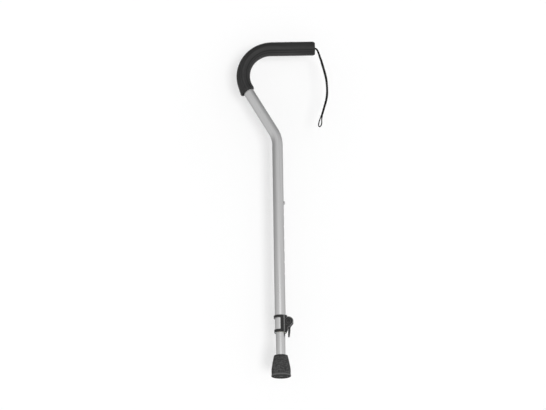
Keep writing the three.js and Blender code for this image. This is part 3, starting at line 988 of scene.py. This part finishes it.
def makePin():
    p = pinEnds
    pin = turnPiece("leverPin", [
        (2.2, p["head"]), (p["headRadius"] - 0.3, p["head"] + 0.3), (p["headRadius"], p["head"] + 0.75),
        (p["headRadius"], p["shoulder"]), (pivot["pin"], p["shoulder"]), (pivot["pin"], p["groove"]),
        (1.5, p["groove"]), (1.5, p["tail"]), (pivot["pin"], p["tail"]), (pivot["pin"], p["end"] - 0.3),
        (pivot["pin"] - 0.3, p["end"])], 64)
    roundEdges(pin, 0.08, 2, 40)
    layAlong(pin, "Y", (pivot["x"], 0, pivot["z"]))
    shadeSmooth(pin)
    fitPiece(pin, blackSteel, "upper_shaft", "blackened_steel", "lever_pin")


def makeClip():                 # a stamped ring with a mouth and three gripping lobes
    profile = ringProfile(clip["bore"], clip["radius"], clip["from"], clip["to"])
    disc = turnPiece("pinClip", profile, 72, ring=True)
    tools = [makeBlock("mouth", (0, -clip["mouth"] / 2, 9), (5, clip["mouth"] / 2, 11))]
    for turn in (127, 180, 233):
        angle = math.radians(turn)
        bite = turnPiece("bite", [(clip["bite"], 9), (clip["bite"], 11)], 24)
        tools.append(setDown(bite, (clip["bites"] * math.cos(angle), clip["bites"] * math.sin(angle), 0)))
    roundEdges(disc, 0.08, 2, 40)
    combine(disc, tools)
    layAlong(disc, "Y", (pivot["x"], 0, pivot["z"]))
    shadeSmooth(disc)
    fitPiece(disc, blackSteel, "upper_shaft", "blackened_steel", "pin_clip")


screw = {"shank": 1.4, "head": 2.4, "from": 10.3, "seat": 13.7, "top": 15.1, "socket": 1.15}


def makeScrew():                # a cap screw with a turned thread and a six-sided socket
    thread = []
    for i in range(8):
        z = screw["from"] + 0.3 + i * 0.45
        thread += [(screw["shank"] - 0.22, z), (screw["shank"], z + 0.22)]
    body = turnPiece("collarScrew", [(screw["shank"] - 0.4, screw["from"])] + thread + [
        (screw["shank"], screw["seat"]), (screw["head"], screw["seat"]), (screw["head"], screw["top"] - 0.25),
        (screw["head"] - 0.25, screw["top"])], 48)
    bpy.ops.object.select_all(action="DESELECT")
    bpy.ops.mesh.primitive_cylinder_add(vertices=6, radius=screw["socket"] * mm, depth=2 * mm,
                                        location=(0, 0, screw["top"] * mm))
    combine(body, [startPiece("socket")])
    layAlong(body, "Y", (0, 0, screwHole["height"]))
    shadeSmooth(body)
    fitPiece(body, blackSteel, "upper_shaft", "blackened_steel", "collar_screw")


shoe = {"inner": 8.4, "outer": 11.6, "halfWidth": 4, "bottom": 107, "top": 121, "bore": 9.9}


def makeShoe():                 # a nylon pad with rounded edges, hollowed to the inner tube
    s = shoe
    pad = makeBlock("pressureShoe", (s["inner"], -s["halfWidth"], s["bottom"]),
                    (s["outer"], s["halfWidth"], s["top"]))
    roundEdges(pad, 0.45, 3)
    combine(pad, [turnPiece("bore", [(s["bore"], 100), (s["bore"], 130)], 96)])
    shadeSmooth(pad, 25)
    fitPiece(pad, nylon, "clamp_shoe", "pale_nylon", "pressure_shoe")


bush = {"bore": 9.85, "radius": 11.1, "bottom": 91.5, "top": 94}


def makeBush():
    profile = ringProfile(bush["bore"], bush["radius"], bush["bottom"], bush["top"])
    ring = turnPiece("antiRattleBush", profile, 96, ring=True)
    roundEdges(ring, 0.35, 3, 50)
    combine(ring, [makeBlock("split", (-12, -0.45, 90), (-9, 0.45, 95))])
    shadeSmooth(ring)
    fitPiece(ring, nylon, "upper_shaft", "pale_nylon", "anti_rattle_bush")


makeCollar()
makeLever()
makePin()
makeClip()
makeScrew()
makeShoe()
makeBush()
print("clamp finished")


# the rubber tip and the washer inside it

tip = {"foot": 18.6, "lip": 20.1, "barrel": 19.5, "neck": 14.5, "top": 44, "socket": 9.9, "floor": 6,
       "notches": 16, "notchWidth": 2.2}
washer = {"bore": 1.6, "radius": 9.4, "bottom": 6.3, "top": 7.9}


def makeTip():
    profile = [(4.6, 0.9), (5.2, 0), (6, 0), (6.3, 1.5), (7.7, 1.5), (8, 0), (12.5, 0), (12.8, 1.5),
               (14.2, 1.5), (14.5, 0), (tip["foot"], 0), (19.6, 0.4), (tip["lip"], 1.2), (tip["lip"], 2.6),
               (19.75, 3.6),
               (tip["barrel"], 4.6), (19.65, 10), (19.65, 14.5), (19.15, 18.5), (17.7, 26.5), (16.1, 34.5),
               (14.9, 40.4), (tip["neck"], 41.9), (14.35, 42.9), (13.7, 43.7), (12.9, tip["top"]),
               (11.2, tip["top"]), (10.3, 43.4), (tip["socket"], 42.4), (tip["socket"], tip["floor"])]
    body = turnPiece("rubberTip", profile, 128)
    roundEdges(body, 0.25, 3, 28)
    cuts = []
    for i in range(tip["notches"]):     # cross cuts that split the outer tread ring into lugs
        cut = makeBlock("cut", (14, -tip["notchWidth"] / 2, -1), (17.9, tip["notchWidth"] / 2, 1.3))
        cuts.append(setDown(cut, (0, 0, 0), (0, 0, 2 * math.pi * (i + 0.5) / tip["notches"])))
    combine(body, cuts)
    shadeSmooth(body, 32)
    fitPiece(body, rubber, "lower_shaft", "tip_rubber", "rubber_tip")


def makeWasher():
    profile = ringProfile(washer["bore"], washer["radius"], washer["bottom"], washer["top"])
    ring = turnPiece("tipWasher", profile, 64, ring=True)
    roundEdges(ring, 0.3, 3, 50)
    shadeSmooth(ring)
    fitPiece(ring, steel, "lower_shaft", "hardware_steel", "tip_washer")


makeTip()
makeWasher()
print("tip finished")


# light and background

studio = {"wallBehind": 0.185, "wallSize": (4, 3), "floorSize": (6, 6), "floor": -0.0006,
          "sunTurn": 6, "sunRise": -19, "sunSoft": 7.5, "sunPower": 0.68,
          "left": 0.42, "right": 0.82, "top": 0.35, "below": 0.88, "back": 0.72, "box": (0.06, -0.93, -0.36),
          "boxPower": 1.15, "card": 0.97, "floorGlow": 0.58}


def oneSided(name, brightness, glow=0):     # pale card that shows its face and lets light through its back
    finish = Finish(name, grey(brightness), 0.9, Emission_Color=(1, 1, 1, 1), Emission_Strength=glow)
    clear = finish.node("BsdfTransparent")
    mix = finish.node("MixShader")
    finish.link(finish.node("NewGeometry").outputs["Backfacing"], mix.inputs[0])
    finish.link(finish.shader.outputs[0], mix.inputs[1])
    finish.link(clear.outputs[0], mix.inputs[2])
    finish.link(mix.outputs[0], finish.tree.nodes["Material Output"].inputs["Surface"])
    return finish.material


def makeCard(name, size, place, rotation, material):
    bpy.ops.object.select_all(action="DESELECT")
    bpy.ops.mesh.primitive_plane_add(size=1, location=place, rotation=rotation)
    bpy.context.object.scale = (*size, 1)
    card = startPiece(name)
    card.data.materials.append(material)
    for ray in ("diffuse", "glossy", "transmission", "shadow"):
        setattr(card, "visible_" + ray, False)


def makeWorld():                # a white room: bright below, dimmer above and on the left
    world = bpy.data.worlds.new("studio")
    bpy.context.scene.world = world
    world.use_nodes = True
    sky = Nodes(world.node_tree)

    def choose(factor, first, second):
        made = sky.node("Mix")
        for socket, value in zip(made.inputs, (factor, None, first, second)):
            if isinstance(value, float):
                socket.default_value = value
            elif value is not None:
                sky.link(value, socket)
        return made.outputs[0]

    direction = sky.node("TexCoord").outputs["Generated"]
    split = sky.node("SeparateXYZ")
    sky.link(direction, split.inputs[0])
    across, deep, up = split.outputs
    sides = sky.ramp(across, studio["left"], studio["right"], -0.9, -0.3)
    above = choose(sky.ramp(up, 0, 1, 0.3, 0.9), sides, studio["top"])
    level = choose(sky.ramp(up, 0, 1, -0.1, 0.2), studio["below"], above)
    level = sky.maths("MULTIPLY", level, sky.ramp(deep, 1, studio["back"], 0, 0.7))
    toBox = sky.node("VectorMath", operation="DOT_PRODUCT")     # a soft lamp by the camera
    sky.link(direction, toBox.inputs[0])
    toBox.inputs[1].default_value = Vector(studio["box"]).normalized()
    level = sky.maths("ADD", level, sky.ramp(toBox.outputs["Value"], 0, studio["boxPower"], 0.93, 0.98))
    seen = sky.node("LightPath").outputs["Is Camera Ray"]
    background = sky.tree.nodes["Background"]
    sky.link(choose(seen, level, 1.0), background.inputs["Strength"])
    background.inputs["Color"].default_value = (1, 1, 1, 1)


def makeLights():
    bpy.ops.object.light_add(type="SUN")
    sun = bpy.context.object
    sun.name = "frontLight"
    sun.data.energy = studio["sunPower"]
    sun.data.angle = math.radians(studio["sunSoft"])
    turn = math.radians(studio["sunTurn"])
    rise = math.radians(studio["sunRise"])
    source = Vector((math.sin(turn) * math.cos(rise), -math.cos(turn) * math.cos(rise), math.sin(rise)))
    sun.rotation_euler = source.to_track_quat("Z", "Y").to_euler()
    sun.visible_glossy = False      # the soft lamp makes the highlights


makeWorld()
makeLights()
makeCard("wall", studio["wallSize"], (0, studio["wallBehind"], 0.36), (math.pi / 2, 0, 0),
         oneSided("paleCard", studio["card"]))
makeCard("floor", studio["floorSize"], (0, 0, studio["floor"]), (0, 0, 0),
         oneSided("paleFloor", studio["card"], studio["floorGlow"]))
bpy.context.scene.view_settings.view_transform = "Standard"
print("studio ready")
